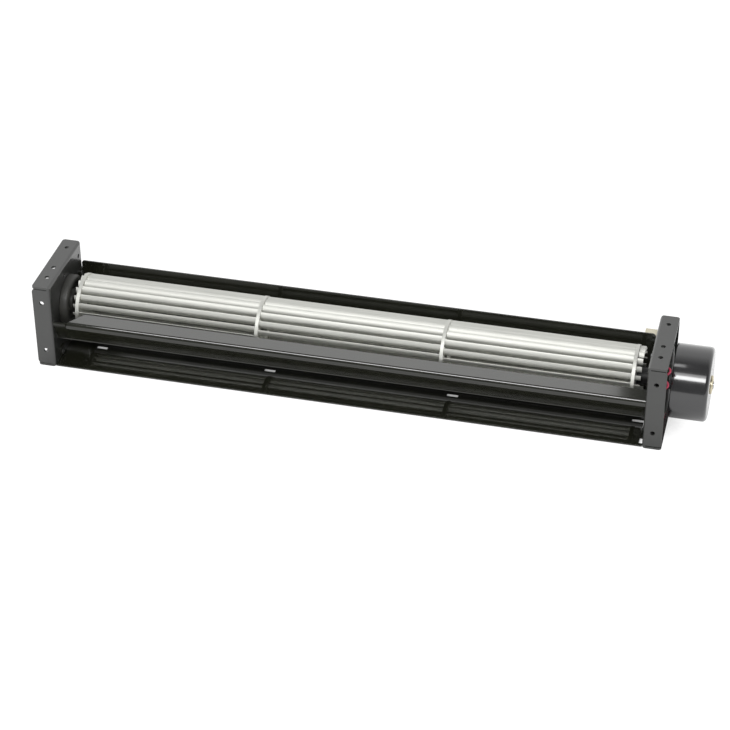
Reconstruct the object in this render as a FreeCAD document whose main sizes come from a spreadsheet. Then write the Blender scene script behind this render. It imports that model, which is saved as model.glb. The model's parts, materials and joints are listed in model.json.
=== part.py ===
import FreeCAD, Part
import math
import os
import re
import Sketcher

# A cross flow fan: an aluminium drum of curved blades between two folded sheet brackets, with a
# curved rear panel behind it, a folded stabilizer in front of it and an outer rotor motor at the
# right. +X runs along the drum towards the motor, -Y is the side that blows, +Z is up. The origin
# lies on the base, in the middle of the four base holes, under the drum's axis. Millimetres.

Vector = FreeCAD.Vector

# Driving sizes
SIZES = {
    # brackets
    "inner_width": 319.0,
    "bracket_height": 50.0,
    "bracket_depth": 50.0,
    "flange_depth": 10.0,
    "bracket_gauge": 1.2,
    "bend_radius": 1.6,
    "corner_gap": 0.5,
    "corner_radius": 1.5,
    "fixing_hole": 1.25,
    "hole_inset": 5.0,
    "top_hole_front": 10.8,
    "top_hole_middle": 21.0,
    "top_hole_back": 42.0,
    "side_hole_low": 10.0,
    "side_hole_high": 40.0,
    "base_hole_spacing": 30.0,
    "plate_hole_inset": 5.0,
    "plate_hole_drop": 6.7,
    "middle_hole_offset": 2.5,
    "middle_hole_drop": 5.5,
    # drum
    "axis_height": 27.6,
    "drum_radius": 16.0,
    "disc_gauge": 1.9,
    "left_disc_gap": 9.8,
    "right_disc_gap": 7.4,
    "blade_count": 20,
    "blade_tip_radius": 15.6,
    "blade_root_radius": 10.9,
    "blade_tip_angle": 16.0,
    "blade_gauge": 0.5,
    "segment_twist": 6.0,
    "left_tab_length": 1.5,
    "right_tab_length": 3.0,
    "tab_rivet_length": 0.5,
    "ring_bore": 10.2,
    # shaft, hubs and bushes
    "shaft_radius": 2.0,
    "running_clearance": 0.04,
    "hub_radius": 4.6,
    "hub_length": 5.6,
    "hub_gap": 0.3,
    "axial_play": 0.4,
    "bush_radius": 4.0,
    "bush_length": 8.0,
    # rubber bearing mount
    "mount_radius": 14.2,
    "mount_bulge": 4.8,
    "mount_rim": 3.4,
    "mount_rounding": 1.6,
    "mount_neck": 11.0,
    "mount_flange": 12.8,
    "mount_flange_gauge": 1.6,
    "mount_hollow": 2.2,
    # rear panel and stabilizer
    "panel_gauge": 0.8,
    "panel_top": 38.0,
    "panel_arc": 26.6,
    "panel_ground_gap": 0.6,
    "panel_front_inset": 0.1,
    "panel_end_gap": 1.9,
    "front_bridge": 1.9,
    "panel_corner": 1.5,
    "panel_tab_width": 4.5,
    "panel_tab_reach": 6.3,
    "floor_tab_place": 15.6,
    "back_tab_height": 32.2,
    "slot_place": 4.7,
    "slot_width": 2.8,
    "slot_length": 6.1,
    "left_slot": 16.0,
    "middle_slot": 111.3,
    "right_slot": 212.0,
    "stabilizer_inset": 0.6,
    "stabilizer_brow": 26.9,
    "stabilizer_foot": 15.5,
    "foot_inset": 5.9,
    "foot_lip": 0.9,
    "foot_bend": 1.3,
    "tongue_gap": 1.4,
    "tongue_rise": 4.3,
    "tongue_bend": 3.0,
    "stabilizer_tab_height": 4.4,
    "stabilizer_tab_lift": 2.2,
    "mitre_start": 7.0,
    "mitre_end": 16.2,
    "mitre_inset": 1.6,
    "ear_height": 1.1,
    "rivet_radius": 1.2,
    "rivet_head": 1.9,
    "rivet_head_height": 0.7,
    "rivet_clearance": 0.1,
    # motor
    "base_margin": 8.0,
    "base_flange": 2.5,
    "base_spigot": 7.0,
    "tube_radius": 5.0,
    "tube_end_gap": 0.5,
    "screw_circle": 12.0,
    "screw_radius": 1.25,
    "screw_head": 2.3,
    "screw_head_height": 1.4,
    "screw_grip": 2.0,
    "board_radius": 17.5,
    "board_gauge": 1.6,
    "board_place": 6.6,
    "rotor_radius": 19.5,
    "rotor_wall": 1.2,
    "rotor_end_wall": 1.5,
    "rotor_place": 10.2,
    "rotor_length": 19.2,
    "rotor_corner": 1.8,
    "magnet_gauge": 1.9,
    "magnet_length": 12.0,
    "magnet_place": 1.1,
    "air_gap": 0.5,
    "stator_length": 9.6,
    "stator_place": 12.8,
    "pole_count": 6,
    "pole_shoe": 1.5,
    "pole_width": 3.0,
    "pole_slit": 2.2,
    "yoke_radius": 7.6,
    "coil_gauge": 1.5,
    "brass_flange": 4.8,
    "brass_flange_height": 1.1,
    "brass_body": 3.6,
    "brass_length": 4.2,
    "shaft_end_height": 0.4,
    # lead
    "wire_radius": 0.6,
    "lead_hole_radius": 2.4,
    "lead_hole_inset": 5.0,
    "lead_hole_height": 6.2,
    "lead_spread": 1.4,
    "lead_tray_place": 7.9,
    "lead_wall_gap": 0.95,
    "lead_front_bend": 8.0,
    "lead_side_bend": 5.4,
    "lead_inner_bend": 2.2,
    "lead_plug_bend": 3.6,
    "lead_plug_rise": 10.2,
    "lead_clearance": 0.05,
    "grommet_flange": 3.2,
    "grommet_flange_gauge": 0.9,
    "plug_place": 4.6,
    "plug_width": 6.2,
    "plug_depth": 5.2,
    "plug_height": 8.3,
    "plug_foot": 29.0,
    "plug_cavity": 1.9,
    "plug_cavity_depth": 3.6,
    "plug_cavity_drop": 2.6,
    "plug_wire_spacing": 2.6,
}

# Places that follow from the driving sizes
PLACES = {
    "half_width": "inner_width / 2",
    "half_depth": "bracket_depth / 2",
    "plug_left": "inner_width / 2 - plug_place - plug_width / 2",
    "segment_pitch": "(inner_width - left_disc_gap - right_disc_gap - disc_gauge) / 3",
    "left_disc": "left_disc_gap - inner_width / 2",
    "left_hub_length": "left_disc_gap - mount_bulge - hub_gap",
    "right_disc_face": "inner_width / 2 - right_disc_gap",
    "blade_length": "segment_pitch - disc_gauge",
    "blade_arc": "(blade_tip_radius ^ 2 - blade_root_radius ^ 2) / (2 * blade_tip_radius"
                 " * cos(blade_tip_angle * 1 deg))",
    "panel_inside": "bracket_depth / 2 - panel_gauge",
    "panel_front": "bracket_depth / 2 - panel_front_inset",
    "panel_floor": "panel_ground_gap + panel_gauge",
    "stabilizer_front": "bracket_depth / 2 - stabilizer_inset",
    "tongue_reach": "drum_radius + tongue_gap",
    "tongue_slope": "tongue_rise / (stabilizer_front - tongue_reach)",
    "tongue_drop": "panel_gauge * sqrt(1 + tongue_slope ^ 2)",
    "front_lean": "foot_inset / (stabilizer_brow - stabilizer_foot)",
    "front_shift": "panel_gauge * sqrt(1 + front_lean ^ 2)",
    "brow_inside": "(front_shift + front_lean * tongue_drop) / (1 + tongue_slope * front_lean)",
    "tab_low": "stabilizer_foot + stabilizer_tab_lift",
    "tab_high": "stabilizer_foot + stabilizer_tab_lift + stabilizer_tab_height",
    "tab_reach": "front_shift + 2 * rivet_head + 3 * rivet_clearance",
    "base_radius": "bracket_depth / 2 - base_margin",
    "rotor_open": "inner_width / 2 + bracket_gauge + rotor_place",
    "rotor_end": "inner_width / 2 + bracket_gauge + rotor_place + rotor_length",
    "tube_end": "rotor_end - brass_length - tube_end_gap",
    "stator_radius": "rotor_radius - rotor_wall - magnet_gauge - air_gap",
}

doc = FreeCAD.newDocument("CrossFlowFan")


def write_sheet(name, cells):
    """Write one sheet of named cells; a formula cell starts with an equals sign."""
    sheet = doc.addObject("Spreadsheet::Sheet", name)
    for row, (alias, content) in enumerate(cells.items(), start=1):
        sheet.set(f"A{row}", alias)
        sheet.set(f"B{row}", str(content))
        sheet.setAlias(f"B{row}", alias)
    doc.recompute()
    return sheet


sizes = write_sheet("Size", SIZES)


def linked(formula):
    """Turn the names in a formula into cells of the sheets."""
    def cell(match):
        name = match.group()
        if name in SIZES:
            return f"Size.{name}"
        return f"Place.{name}" if name in PLACES else name
    return re.sub(r"[a-z]\w*", cell, formula)


places = write_sheet("Place", {
    name: "=" + linked(rule).replace("Place.", "") for name, rule in PLACES.items()
})


def size(name):
    """Number in a cell of either sheet."""
    return float(getattr(sizes if name in SIZES else places, name))


def bind(item, **formulas):
    """Bind properties of one feature to formulas in the sheets."""
    for name, formula in formulas.items():
        item.setExpression(name, linked(formula))


def origin_feature(body, role):
    return [item for item in body.Origin.OriginFeatures if item.Role == role][0]


def new_body(label, x="0", y="0", z="0"):
    """A body whose own origin stands at the given place of the fan."""
    body = doc.addObject("PartDesign::Body", label)
    body.Label = label
    for name, formula in (("x", x), ("y", y), ("z", z)):
        body.setExpression(f"Placement.Base.{name}", linked(formula))
    doc.recompute()
    return body


def new_sketch(body, plane, offset="0"):
    """A sketch on one of the body's own origin planes, moved along the plane's normal."""
    sketch = body.newObject("Sketcher::SketchObject", f"{body.Label}_sketch")
    sketch.AttachmentSupport = [(origin_feature(body, plane), "")]
    sketch.MapMode = "FlatFace"
    sketch.setExpression("AttachmentOffset.Base.z", linked(offset))
    return sketch


def set_rule(sketch, kind, formula, *items):
    """Add a dimension that follows a formula; the last item is its starting value."""
    index = sketch.addConstraint(Sketcher.Constraint(kind, *items))
    sketch.setExpression(f"Constraints[{index}]", linked(formula))


def set_place(sketch, geometry, point, x, y, start=(1.0, 1.0)):
    """Fix a point of the sketch at two formulas, measured from the sketch's origin."""
    set_rule(sketch, "DistanceX", x, -1, 1, geometry, point, start[0])
    set_rule(sketch, "DistanceY", y, -1, 1, geometry, point, start[1])


def draw_outline(sketch, corners):
    """Closed outline of straight edges through corners given as pairs of formulas."""
    count = len(corners)
    first = sketch.GeometryCount
    start = [
        Vector(math.cos(2 * math.pi * i / count), math.sin(2 * math.pi * i / count), 0)
        for i in range(count)
    ]
    for i in range(count):
        sketch.addGeometry(Part.LineSegment(start[i], start[(i + 1) % count]), False)
    for i in range(count):
        after = first + (i + 1) % count
        sketch.addConstraint(Sketcher.Constraint("Coincident", first + i, 2, after, 1))
    for i, (x, y) in enumerate(corners):
        set_place(sketch, first + i, 1, x, y)


def draw_box(sketch, left, right, low, high):
    draw_outline(sketch, [(left, low), (right, low), (right, high), (left, high)])


def draw_circle(sketch, radius, x="0", y="0"):
    index = sketch.addGeometry(Part.Circle(Vector(0, 0, 0), Vector(0, 0, 1), 1.0), False)
    set_place(sketch, index, 3, x, y)
    set_rule(sketch, "Radius", radius, index, 1.0)


def pad(body, sketch, length):
    """Pad along the sketch plane's normal."""
    feature = body.newObject("PartDesign::Pad", f"{body.Label}_pad")
    feature.Profile = sketch
    bind(feature, Length=length)
    doc.recompute()
    return feature


def pocket(body, sketch, length, along_normal=False):
    """Pocket against the plane's normal, or along it; the volume shows that it has cut."""
    before = body.Shape.Volume
    feature = body.newObject("PartDesign::Pocket", f"{body.Label}_pocket")
    feature.Profile = sketch
    feature.Reversed = along_normal
    bind(feature, Length=length)
    doc.recompute()
    if not body.Shape.Volume < before:
        raise RuntimeError(f"{feature.Label} cuts nothing")
    return feature


def pocket_both_ways(body, sketch):
    """Pocket right through the body on both sides of the sketch plane."""
    before = body.Shape.Volume
    feature = body.newObject("PartDesign::Pocket", f"{body.Label}_pocket")
    feature.Profile = sketch
    feature.Type = "ThroughAll"
    feature.SideType = "Symmetric"
    doc.recompute()
    if not body.Shape.Volume < before:
        raise RuntimeError(f"{feature.Label} cuts nothing")
    return feature


def repeat_round(body, feature, count):
    """Repeat one feature round the body's X axis."""
    pattern = body.newObject("PartDesign::PolarPattern", f"{body.Label}_pattern")
    pattern.Originals = [feature]
    pattern.Axis = (origin_feature(body, "X_Axis"), [""])
    pattern.Angle = 360
    bind(pattern, Occurrences=count)
    body.Tip = pattern
    doc.recompute()
    return pattern


def edges_where(body, test):
    """Names of the straight or round edges whose box passes the test."""
    names = []
    for number, edge in enumerate(body.Tip.Shape.Edges, start=1):
        if test(edge.BoundBox, edge):
            names.append(f"Edge{number}")
    return names


def round_edges(body, names, radius):
    """Fillet some edges of the body as it stands."""
    base = body.Tip
    feature = body.newObject("PartDesign::Fillet", f"{body.Label}_fillet")
    feature.Base = (base, names)
    bind(feature, Radius=radius)
    doc.recompute()
    return feature


def near(a, b):
    return abs(a - b) < 0.01


def turned(label, corners, z="axis_height"):
    """A turned piece round the drum's axis; corners are pairs of place along X and radius."""
    body = new_body(label, z=z)
    sketch = new_sketch(body, "XY_Plane")
    draw_outline(sketch, corners)
    feature = body.newObject("PartDesign::Revolution", f"{label}_turn")
    feature.Profile = sketch
    feature.ReferenceAxis = (sketch, ["H_Axis"])
    feature.Angle = 360
    doc.recompute()
    return body


def tube(label, start, end, outer, inner):
    """A plain turned ring or sleeve."""
    return turned(label, [(start, inner), (end, inner), (end, outer), (start, outer)])


# Brackets

def make_bracket(label, side):
    """A folded tray: an end plate facing the drum and four flanges that point away from it."""
    sign = "" if side > 0 else "-1 * "
    body = new_body(label, x=f"{sign}half_width")
    if side < 0:
        body.Placement.Rotation = FreeCAD.Rotation(Vector(0, 0, 1), 180)
    outline = new_sketch(body, "YZ_Plane")
    draw_box(outline, "-1 * half_depth", "half_depth", "0", "bracket_height")
    pad(body, outline, "flange_depth")
    round_edges(body, edges_where(body, lambda box, edge: near(box.XMax, 0)), "bend_radius")

    hollow = new_sketch(body, "YZ_Plane", "bracket_gauge")
    draw_box(hollow, "bracket_gauge - half_depth", "half_depth - bracket_gauge",
             "bracket_gauge", "bracket_height - bracket_gauge")
    pocket(body, hollow, "flange_depth", along_normal=True)
    gauge = size("bracket_gauge")
    inner = edges_where(body, lambda box, edge: near(box.XMax, gauge) and near(box.XMin, gauge))
    round_edges(body, inner, "bend_radius - bracket_gauge")

    # slits that part the side flanges from the top and bottom flanges at the corners
    slits = new_sketch(body, "XZ_Plane")
    draw_box(slits, "bend_radius", "flange_depth + 1", "bracket_gauge", "bracket_gauge + corner_gap")
    draw_box(slits, "bend_radius", "flange_depth + 1",
             "bracket_height - bracket_gauge - corner_gap", "bracket_height - bracket_gauge")
    pocket_both_ways(body, slits)

    depth = size("flange_depth")
    free = edges_where(body, lambda box, edge: near(box.XMin, depth) and near(box.XMax, depth)
                       and near(max(box.YLength, box.ZLength), gauge)
                       and min(box.YLength, box.ZLength) < 0.01)
    round_edges(body, free, "corner_radius")

    top_holes = new_sketch(body, "XY_Plane", "bracket_height + 1")
    for place in ("top_hole_front", "top_hole_middle", "top_hole_back"):
        draw_circle(top_holes, "fixing_hole", "hole_inset",
                    f"{'' if side > 0 else '-1 * '}( {place} - half_depth )")
    pocket(body, top_holes, "2 * bracket_gauge + 1")

    base_holes = new_sketch(body, "XY_Plane", "-1")
    for way in ("-0.5", "0.5"):
        draw_circle(base_holes, "fixing_hole", "hole_inset", f"{way} * base_hole_spacing")
    pocket(body, base_holes, "2 * bracket_gauge + 1", along_normal=True)

    side_holes = new_sketch(body, "XZ_Plane")
    for height in ("side_hole_low", "side_hole_high"):
        draw_circle(side_holes, "fixing_hole", "hole_inset", height)
    pocket_both_ways(body, side_holes)

    plate_holes = new_sketch(body, "YZ_Plane", "-1")
    way = "" if side > 0 else "-1 * "
    for y, z in PLATE_HOLE_PLACES:
        draw_circle(plate_holes, "fixing_hole", f"{way}( {y} )", z)
    for y, z in RIVET_PLACES:
        draw_circle(plate_holes, "rivet_radius", f"{way}( {y} )", z)
    if side < 0:
        draw_circle(plate_holes, "mount_neck", "0", "axis_height")
    else:
        draw_circle(plate_holes, "base_spigot", "0", "axis_height")
        draw_circle(plate_holes, "lead_hole_radius", "half_depth - lead_hole_inset",
                    "lead_hole_height")
        for number in range(3):
            angle = math.radians(90 + 120 * number)
            draw_circle(plate_holes, "screw_radius", f"screw_circle * {math.cos(angle):.6f}",
                        f"axis_height + screw_circle * {math.sin(angle):.6f}")
    pocket(body, plate_holes, "bracket_gauge + 2", along_normal=True)
    return body


# Spare holes of both end plates, as formulas in Y and Z
PLATE_HOLE_PLACES = [
    ("half_depth - plate_hole_inset", "bracket_height - plate_hole_drop"),
    ("-1 * middle_hole_offset", "bracket_height - middle_hole_drop"),
]

# Where the sheets' end tabs are riveted to the end plates, as formulas in Y and Z
RIVET_PLACES = [
    ("-1 * floor_tab_place", "panel_floor + 0.45 * panel_tab_reach"),
    ("panel_inside - 0.5 * panel_tab_reach", "back_tab_height"),
    ("front_shift + rivet_head + rivet_clearance - stabilizer_front"
     " + front_lean * ( stabilizer_brow - 0.5 * tab_low - 0.5 * tab_high )",
     "0.5 * tab_low + 0.5 * tab_high"),
]


# Rear panel and stabilizer

def make_rear_panel():
    """Curved sheet behind and under the drum, with tabs turned up at both ends."""
    body = new_body("rear_panel")
    section = new_sketch(body, "YZ_Plane", "-1 * half_width")
    draw_outline(section, [
        ("-1 * panel_front", "panel_ground_gap"),
        ("half_depth", "panel_ground_gap"),
        ("half_depth", "panel_top"),
        ("panel_inside", "panel_top"),
        ("panel_inside", "panel_floor"),
        ("-1 * panel_front", "panel_floor"),
    ])
    pad(body, section, "inner_width - panel_end_gap")
    inside, floor = size("panel_inside"), size("panel_floor")
    hollow = edges_where(body, lambda box, edge: near(box.YMax, inside) and near(box.YMin, inside)
                         and near(box.ZMax, floor) and near(box.ZMin, floor))
    round_edges(body, hollow, "panel_arc")
    back, ground = size("half_depth"), size("panel_ground_gap")
    outer = edges_where(body, lambda box, edge: near(box.YMin, back) and near(box.ZMax, ground))
    round_edges(body, outer, "panel_arc + panel_gauge")
    top = size("panel_top")
    corners = edges_where(body, lambda box, edge: near(box.ZMin, top) and box.XLength < 0.01)
    round_edges(body, corners, "panel_corner")

    # a row of slots through the floor; the one at the right end is open to the end
    slots = new_sketch(body, "XY_Plane")
    for place in ("left_slot", "middle_slot", "right_slot"):
        draw_box(slots, f"{place} - half_width", f"{place} + slot_length - half_width",
                 "-1 * slot_place", "slot_width - slot_place")
    draw_box(slots, "half_width - panel_end_gap - slot_length", "half_width",
             "-1 * slot_place", "slot_width - slot_place")
    pocket(body, slots, "2 * panel_floor", along_normal=True)

    floor_low, floor_high = "-0.5 * panel_tab_width", "0.5 * panel_tab_width"
    for place, thickness in (("-1 * half_width", "panel_gauge"),
                             ("half_width - panel_gauge", "panel_gauge")):
        tabs = new_sketch(body, "YZ_Plane", place)
        draw_box(tabs, f"{floor_low} - floor_tab_place", f"{floor_high} - floor_tab_place",
                 "panel_ground_gap", "panel_floor + panel_tab_reach")
        draw_box(tabs, "panel_inside - panel_tab_reach", "half_depth",
                 f"back_tab_height {floor_low}", f"back_tab_height + {floor_high}")
        pad(body, tabs, thickness)
    bridges = new_sketch(body, "YZ_Plane", "half_width - panel_end_gap")
    draw_box(bridges, f"{floor_low} - floor_tab_place", f"{floor_high} - floor_tab_place",
             "panel_ground_gap", "panel_floor")
    draw_box(bridges, "-1 * panel_front", "front_bridge - panel_front",
             "panel_ground_gap", "panel_floor")
    draw_box(bridges, "panel_inside", "half_depth",
             f"back_tab_height {floor_low}", f"back_tab_height + {floor_high}")
    pad(body, bridges, "panel_end_gap")
    drill_tabs(body, (0, 1))
    return body


def make_stabilizer():
    """Folded strip in front of the drum: a tongue, a front that leans in and a lip at its foot."""
    body = new_body("stabilizer")
    foot = "foot_inset - stabilizer_front"
    section = new_sketch(body, "YZ_Plane", "-1 * half_width")
    draw_outline(section, [
        ("-1 * stabilizer_front", "stabilizer_brow"),
        (foot, "stabilizer_foot"),
        (foot, "stabilizer_foot - foot_lip"),
        (f"{foot} + panel_gauge", "stabilizer_foot - foot_lip"),
        (f"{foot} + panel_gauge", "stabilizer_foot + ( front_shift - panel_gauge ) / front_lean"),
        ("brow_inside - stabilizer_front",
         "stabilizer_brow - tongue_drop + tongue_slope * brow_inside"),
        ("-1 * tongue_reach", "stabilizer_brow + tongue_rise - tongue_drop"),
        ("-1 * tongue_reach", "stabilizer_brow + tongue_rise"),
    ])
    pad(body, section, "inner_width")
    front, brow, foot_height = size("stabilizer_front"), size("stabilizer_brow"), size("stabilizer_foot")

    def fold_edge(low_y, high_y, low_z, high_z):
        return edges_where(body, lambda box, edge: box.XLength > 1 and low_y < box.YMin < high_y
                           and low_z < box.ZMin < high_z)

    inside = size("brow_inside")
    gauge = size("panel_gauge")
    foot_place = size("foot_inset") - front
    round_edges(body, fold_edge(-front - 0.1, 0.1 - front, brow - 0.1, brow + 0.1), "tongue_bend")
    round_edges(body, fold_edge(inside - front - 0.1, inside - front + 0.1, foot_height + gauge, brow),
                "tongue_bend - panel_gauge")
    round_edges(body, fold_edge(foot_place + gauge - 0.1, foot_place + gauge + 0.1,
                                foot_height - 0.1, foot_height + gauge), "foot_bend")
    cut_mitre(body)
    for place in ("-1 * half_width", "half_width - panel_gauge"):
        add_stabilizer_tab(body, place)
    drill_tabs(body, (2,))
    return body


def cut_mitre(body):
    """Cut the tongue away slantwise at the left end, where the front runs on upwards as an ear."""
    start = "mitre_inset - stabilizer_front"
    cut = new_sketch(body, "XY_Plane", "stabilizer_brow + tongue_rise + 0.1")
    draw_outline(cut, [
        ("-1 * half_width - 1", start),
        ("mitre_start - half_width", start),
        ("mitre_end - half_width", "0.1 - tongue_reach"),
        ("-1 * half_width - 1", "0.1 - tongue_reach"),
    ])
    pocket(body, cut, "tongue_rise + tongue_bend - panel_gauge")
    ear = new_sketch(body, "YZ_Plane", "-1 * half_width")
    draw_outline(ear, [
        ("front_lean * tongue_bend - stabilizer_front", "stabilizer_brow - tongue_bend"),
        ("front_lean * tongue_bend + front_shift - stabilizer_front",
         "stabilizer_brow - tongue_bend"),
        ("front_shift - front_lean * ear_height - stabilizer_front",
         "stabilizer_brow + ear_height"),
        ("-1 * front_lean * ear_height - stabilizer_front", "stabilizer_brow + ear_height"),
    ])
    pad(body, ear, "mitre_start")


def add_stabilizer_tab(body, place):
    """A tab folded back from the front along one end plate."""
    tab = new_sketch(body, "YZ_Plane", place)
    low = "0.5 * front_shift - stabilizer_front + front_lean * ( stabilizer_brow - tab_low )"
    high = "0.5 * front_shift - stabilizer_front + front_lean * ( stabilizer_brow - tab_high )"
    draw_outline(tab, [
        (low, "tab_low"),
        (f"{low} + tab_reach - 0.5 * front_shift", "tab_low"),
        (f"{high} + tab_reach - 0.5 * front_shift", "tab_high"),
        (high, "tab_high"),
    ])
    pad(body, tab, "panel_gauge")


def drill_tabs(body, chosen):
    """Rivet holes through a sheet's end tabs, at both ends."""
    for place in ("-1 * half_width - 1", "half_width - panel_gauge - 1"):
        holes = new_sketch(body, "YZ_Plane", place)
        for number in chosen:
            draw_circle(holes, "rivet_radius", *RIVET_PLACES[number])
        pocket(body, holes, "panel_gauge + 1", along_normal=True)


def make_rivets(label, chosen):
    """Round headed rivets through an end plate and a sheet's end tab, at both ends."""
    rivets = []
    for number in chosen:
        y, z = RIVET_PLACES[number]
        for side, sign in (("left", "-1 * "), ("right", "")):
            body = new_body(f"{label}_{side}_{number}", x=f"{sign}half_width", y=y, z=z)
            if side == "left":
                body.Placement.Rotation = FreeCAD.Rotation(Vector(0, 0, 1), 180)
            sketch = new_sketch(body, "XY_Plane")
            inner, outer = "-1 * panel_gauge", "bracket_gauge"
            draw_outline(sketch, [
                (f"{inner} - rivet_head_height", "0"),
                (f"{inner} - rivet_head_height", "0.6 * rivet_head"),
                (inner, "rivet_head"),
                (inner, "rivet_radius"),
                (outer, "rivet_radius"),
                (outer, "rivet_head"),
                (f"{outer} + rivet_head_height", "0.6 * rivet_head"),
                (f"{outer} + rivet_head_height", "0"),
            ])
            turn = body.newObject("PartDesign::Revolution", "rivet_turn")
            turn.Profile = sketch
            turn.ReferenceAxis = (sketch, ["H_Axis"])
            turn.Angle = 360
            doc.recompute()
            rivets.append(body)
    return gather(label, rivets)


def gather(label, bodies):
    """One named group of like pieces that stay separate solids."""
    group = doc.addObject("Part::Compound", label)
    group.Label = label
    group.Links = bodies
    doc.recompute()
    return group


# Drum

def draw_blade(sketch, inner_share, outer_share):
    """Curved strip of a blade's section between two shares of its height.

    The blade is an arc that stands square to the drum's root circle and meets the tip circle at
    the tip angle, leaning forward. Its arc is centred on the sketch's first axis.
    """
    root, tip = size("blade_root_radius"), size("blade_tip_radius")
    arc = size("blade_arc")
    centre = math.hypot(root, arc)
    root_angle = math.atan2(root, -arc)
    tip_cosine = (centre ** 2 + tip ** 2 - arc ** 2) / (2 * centre * tip)
    tip_angle = math.atan2(tip * math.sqrt(1 - tip_cosine ** 2), tip * tip_cosine - centre)
    low = root_angle + (tip_angle - root_angle) * inner_share
    high = root_angle + (tip_angle - root_angle) * outer_share
    sides = []
    for sign in ("-", "+"):
        radius = arc + float(f"{sign}0.5") * size("blade_gauge")
        rule = f"( blade_arc {sign} blade_gauge / 2 )"
        circle = Part.Circle(Vector(centre, 0, 0), Vector(0, 0, 1), radius)
        side = sketch.addGeometry(Part.ArcOfCircle(circle, high, low), False)
        set_rule(sketch, "Radius", rule, side, radius)
        for point, angle in ((1, high), (2, low)):
            height = math.sin(angle)
            set_rule(sketch, "DistanceY", f"{rule} * {height:.9f}",
                     -1, 1, side, point, radius * height)
        set_place(sketch, side, 3, "sqrt(blade_root_radius ^ 2 + blade_arc ^ 2)", "0", (centre, 0))
        sides.append((side, radius))
    (inner, inner_radius), (outer, outer_radius) = sides
    for point, angle in ((1, high), (2, low)):
        way = Vector(math.cos(angle), math.sin(angle), 0)
        middle = Vector(centre, 0, 0)
        edge = sketch.addGeometry(
            Part.LineSegment(middle + way * inner_radius, middle + way * outer_radius), False)
        sketch.addConstraint(Sketcher.Constraint("Coincident", edge, 1, inner, point))
        sketch.addConstraint(Sketcher.Constraint("Coincident", edge, 2, outer, point))


def make_blades(label, number):
    """One segment's blades, a ring of separate curved strips between two discs."""
    body = new_body(label, z="axis_height")
    body.Placement.Rotation = FreeCAD.Rotation(Vector(1, 0, 0), number * size("segment_twist"))
    section = new_sketch(body, "YZ_Plane", f"left_disc + disc_gauge + {number} * segment_pitch")
    draw_blade(section, 0.0, 1.0)
    blade = pad(body, section, "blade_length")
    repeat_round(body, blade, "blade_count")
    return body


def make_disc(label, number, bore, tab_sides):
    """A thin disc or ring of the drum, with the blades' tab ends standing out of its faces.

    tab_sides lists the number of the segment whose tabs show, the side and their length.
    """
    start = f"left_disc + {number} * segment_pitch"
    body = tube(label, start, f"{start} + disc_gauge", "drum_radius", bore)
    for segment, side, length in tab_sides:
        if side < 0:
            place = f"{start} - {length}"
        else:
            place = f"{start} + disc_gauge"
        body_twist = segment * size("segment_twist")
        sketch = new_sketch(body, "YZ_Plane", place)
        sketch.AttachmentOffset = FreeCAD.Placement(
            Vector(0, 0, 0), FreeCAD.Rotation(Vector(0, 0, 1), body_twist))
        sketch.setExpression("AttachmentOffset.Base.z", linked(place))
        draw_blade(sketch, 0.35, 0.85)
        tab = pad(body, sketch, length)
        repeat_round(body, tab, "blade_count")
    return body


def make_hub(label, start, end, bore):
    """Round boss that joins an end disc to its shaft, with a flange on the disc's inside."""
    return turned(label, [
        (start, bore), (end, bore), (end, "hub_radius"), (start, "hub_radius"),
    ])


# Bearing mount at the left

def make_rubber_mount():
    """Rubber disc that snaps into the left end plate and carries the bush."""
    plate_in = "-1 * half_width"
    plate_out = "-1 * half_width - bracket_gauge"
    bulge = "mount_bulge - half_width"
    return turned("rubber_mount", [
        (f"{plate_out} - mount_flange_gauge", "bush_radius"),
        (f"{plate_out} - mount_flange_gauge", "mount_flange"),
        (plate_out, "mount_flange"),
        (plate_out, "mount_neck"),
        (plate_in, "mount_neck"),
        (plate_in, "mount_radius"),
        (f"{bulge} - mount_rounding", "mount_radius"),
        (f"{bulge} - 0.3 * mount_rounding", "mount_radius - 0.3 * mount_rounding"),
        (bulge, "mount_radius - mount_rounding"),
        (bulge, "mount_radius - mount_rim"),
        (f"{bulge} - mount_hollow", "mount_radius - mount_rim - 0.6"),
        (f"{bulge} - mount_hollow", "bush_radius + 2.6"),
        (bulge, "bush_radius + 2.2"),
        (bulge, "bush_radius"),
    ])


# Motor

def make_motor_base():
    """Cast base with the bearing tube, seated in the right end plate."""
    plate_in, plate_out = "half_width", "half_width + bracket_gauge"
    return turned("motor_base", [
        (plate_in, "bush_radius"),
        ("tube_end", "bush_radius"),
        ("tube_end", "tube_radius"),
        (f"{plate_out} + base_flange + 1.5", "tube_radius"),
        (f"{plate_out} + base_flange", "tube_radius + 1.5"),
        (f"{plate_out} + base_flange", "base_radius"),
        (plate_out, "base_radius"),
        (plate_out, "base_spigot"),
        (plate_in, "base_spigot"),
    ])


def make_rotor_cup():
    """Drawn cup of the outer rotor, open towards the bracket."""
    bore = "rotor_radius - rotor_wall"
    return turned("rotor_cup", [
        ("rotor_open", bore),
        ("rotor_end - rotor_end_wall", bore),
        ("rotor_end - rotor_end_wall", "brass_body"),
        ("rotor_end", "brass_body"),
        ("rotor_end", "rotor_radius - rotor_corner"),
        ("rotor_end - 0.3 * rotor_corner", "rotor_radius - 0.3 * rotor_corner"),
        ("rotor_end - rotor_corner", "rotor_radius"),
        ("rotor_open", "rotor_radius"),
    ])


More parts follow.
